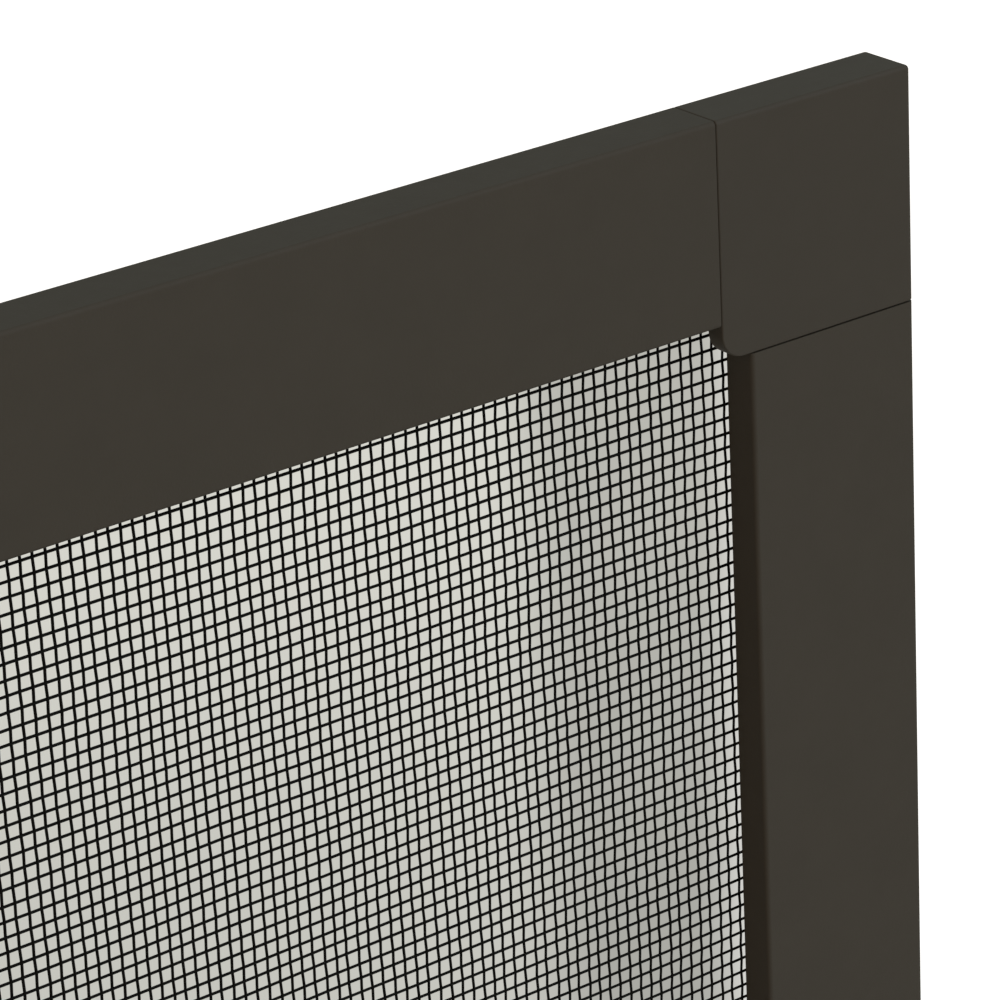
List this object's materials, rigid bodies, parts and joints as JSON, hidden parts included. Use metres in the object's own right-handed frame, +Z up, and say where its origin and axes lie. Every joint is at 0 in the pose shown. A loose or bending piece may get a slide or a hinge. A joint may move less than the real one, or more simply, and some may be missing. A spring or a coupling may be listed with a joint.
{
  "type": "window screen frame",
  "caption": "Flat rectangular insect screen frame: tube bars with a spline channel, square moulded corners with a rounded nose, woven cloth held by a ribbed spline, and pull tabs.",
  "frame": {"origin": "middle of the bottom edge, half-way through the depth", "axes": "+Z up along the stiles, +X to the right seen from outdoors, -Y is the outdoor face, +Y the room side with the channel and spline"},
  "size_m": [0.4, 0.0072, 0.5],
  "materials": {
    "powder_coated_aluminium": "matte powder coat",
    "moulded_corner_plastic": "matte moulded",
    "coated_glass_cloth": "plain weave, vinyl coated",
    "spline_vinyl": "extruded, ribbed",
    "tab_vinyl": "soft satin"
  },
  "bodies": {
    "root": {"top_rail": "powder_coated_aluminium", "bottom_rail": "powder_coated_aluminium", "left_stile": "powder_coated_aluminium", "right_stile": "powder_coated_aluminium", "corner_top_left": "moulded_corner_plastic", "corner_top_right": "moulded_corner_plastic", "corner_bottom_left": "moulded_corner_plastic", "corner_bottom_right": "moulded_corner_plastic", "screen_cloth": "coated_glass_cloth", "spline": "spline_vinyl", "pull_tab_left": "tab_vinyl", "pull_tab_right": "tab_vinyl"}
  },
  "joints": []
}
